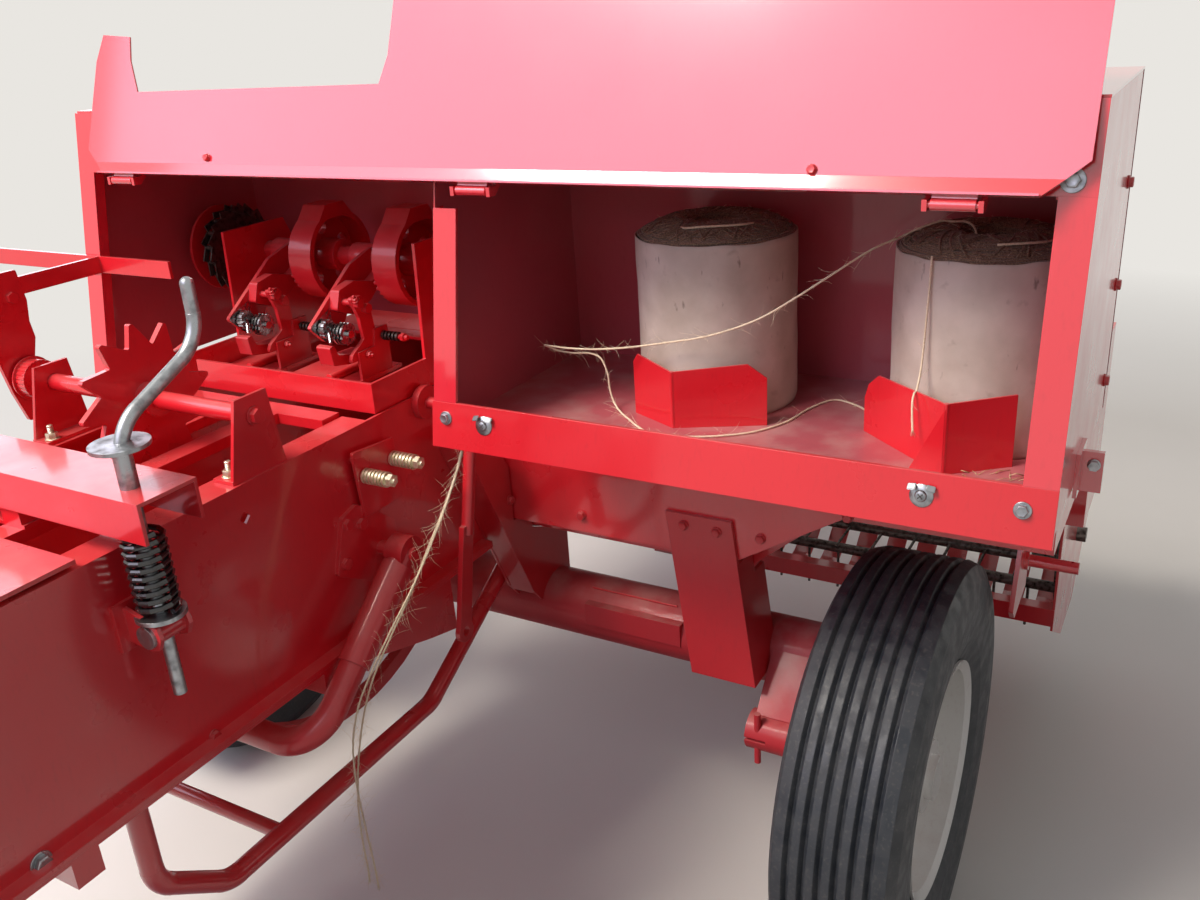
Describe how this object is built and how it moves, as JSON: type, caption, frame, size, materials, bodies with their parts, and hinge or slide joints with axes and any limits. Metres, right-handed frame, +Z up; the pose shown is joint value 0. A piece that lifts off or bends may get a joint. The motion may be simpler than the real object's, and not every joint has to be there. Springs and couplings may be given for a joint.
{
  "type": "square baler",
  "caption": "Small trailed square baler with bale chamber, knotters, twine box under a raised lid, offset pickup, flywheel drive and drawbar with parking jack.",
  "frame": {"origin": "middle of the plan at ground level", "axes": "+Y forward to the tractor along the chamber, +X to the machine's right, +Z up"},
  "size_m": [2, 4.56, 1.6902],
  "materials": {
    "red_enamel": "gloss baler red, sun and shade",
    "rim_white": "white rim enamel",
    "tyre": "worn ribbed implement tyre",
    "bright_steel": "polished working steel",
    "zinc": "dull zinc plating",
    "black_plastic": "black shaft guard",
    "twine": "sisal twine in a paper wrap",
    "black_spring": "black spring steel",
    "plunger_steel": "worn plunger paint"
  },
  "bodies": {
    "frame": {"axle": "red_enamel", "axle_legs": "red_enamel", "chamber_side_right": "red_enamel", "chamber_side_left": "red_enamel", "chamber_floor": "red_enamel", "chamber_top_rails": "red_enamel", "tension_beams": "red_enamel", "tension_screw_right": "zinc", "tension_screw_left": "zinc", "tension_springs": "black_spring", "star_brackets": "red_enamel", "metering_arm": "red_enamel", "plunger_case": "red_enamel", "feed_chamber": "red_enamel", "feeder_fork": "red_enamel", "knotter_frame": "red_enamel", "knotter_right": "red_enamel", "knotter_left": "red_enamel", "needle_rod": "red_enamel", "needle_guard": "red_enamel", "twine_box": "red_enamel", "hood_posts": "red_enamel", "hood_roof": "red_enamel", "twine_ball_right": "twine", "twine_ball_left": "twine", "ball_stops": "red_enamel", "twine_to_guide": "twine", "twine_strand_near": "twine", "twine_strand_far": "twine", "twine_loose_end": "twine", "nose_frame": "red_enamel", "gearbox": "red_enamel", "knotter_chain_case": "red_enamel"},
    "wheel_right": {"tyre_right": "tyre", "rim_right": "rim_white"},
    "wheel_left": {"tyre_left": "tyre", "rim_left": "rim_white"},
    "metering_wheel": {"star_wheel": "red_enamel"},
    "plunger": {"plunger": "plunger_steel"},
    "knotter_drive": {"knotter_shaft": "red_enamel"},
    "needles": {"needle_yoke": "red_enamel"},
    "lid": {"lid": "red_enamel"},
    "pickup": {"pickup_frame": "red_enamel", "stripper_bands": "red_enamel"},
    "reel": {"pickup_reel": "bright_steel"},
    "crop_guard": {"wind_guard": "red_enamel"},
    "flywheel": {"flywheel": "red_enamel"},
    "drawbar": {"drawbar": "red_enamel", "hitch_clevis": "red_enamel", "shaft_guard": "black_plastic", "jack_tube": "red_enamel"},
    "drive_shaft": {"drive_shaft": "bright_steel"},
    "jack_leg": {"jack_leg": "zinc"}
  },
  "joints": [
    {"name": "wheel_right_spin", "type": "hinge", "parent": "frame", "child": "wheel_right", "pos_m": [0.725, -0.83, 0.37], "axis": [1, 0, 0], "continuous": true},
    {"name": "wheel_left_spin", "type": "hinge", "parent": "frame", "child": "wheel_left", "pos_m": [-0.835, -0.83, 0.37], "axis": [1, 0, 0], "continuous": true},
    {"name": "metering_wheel_spin", "type": "hinge", "parent": "frame", "child": "metering_wheel", "pos_m": [-0.315, -1.342, 1.087], "axis": [1, 0, 0], "continuous": true},
    {"name": "plunger_slide", "type": "slide", "parent": "frame", "child": "plunger", "axis": [0, 1, 0], "range_m": [-0.41, 0.29]},
    {"name": "knotter_shaft_spin", "type": "hinge", "parent": "frame", "child": "knotter_drive", "pos_m": [-0.315, -0.83, 1.195], "axis": [1, 0, 0], "continuous": true},
    {"name": "needle_lift", "type": "hinge", "parent": "frame", "child": "needles", "pos_m": [-0.315, -1.14, 0.78], "axis": [1, 0, 0], "range_deg": [0, 100]},
    {"name": "lid_hinge", "type": "hinge", "parent": "frame", "child": "lid", "pos_m": [-0.315, -1.102, 1.372], "axis": [1, 0, 0], "range_deg": [0, 188]},
    {"name": "pickup_lift", "type": "hinge", "parent": "frame", "child": "pickup", "pos_m": [0.425, -0.17, 0.642], "axis": [1, 0, 0], "range_deg": [-6, 16]},
    {"name": "reel_spin", "type": "hinge", "parent": "pickup", "child": "reel", "pos_m": [0.425, 0.1, 0.41], "axis": [1, 0, 0], "continuous": true},
    {"name": "wind_guard_float", "type": "hinge", "parent": "frame", "child": "crop_guard", "pos_m": [0.425, -0.18, 0.965], "axis": [1, 0, 0], "range_deg": [0, 35]},
    {"name": "flywheel_spin", "type": "hinge", "parent": "frame", "child": "flywheel", "pos_m": [-0.315, 0.77, 0.9], "axis": [0, 1, 0], "continuous": true},
    {"name": "drawbar_swing", "type": "hinge", "parent": "frame", "child": "drawbar", "pos_m": [-0.315, 1.02, 0.478], "axis": [0, 0, 1], "range_deg": [0, 16]},
    {"name": "drive_shaft_spin", "type": "hinge", "parent": "drawbar", "child": "drive_shaft", "pos_m": [-0.315, 1.022, 0.9], "axis": [0, 0.9915, -0.1302], "continuous": true},
    {"name": "jack_lift", "type": "slide", "parent": "drawbar", "child": "jack_leg", "axis": [0, 0, 1], "range_m": [0, 0.3]}
  ],
  "couplings": [
    {"joint": "drive_shaft_spin", "follows": "flywheel_spin", "ratio": 1}
  ]
}
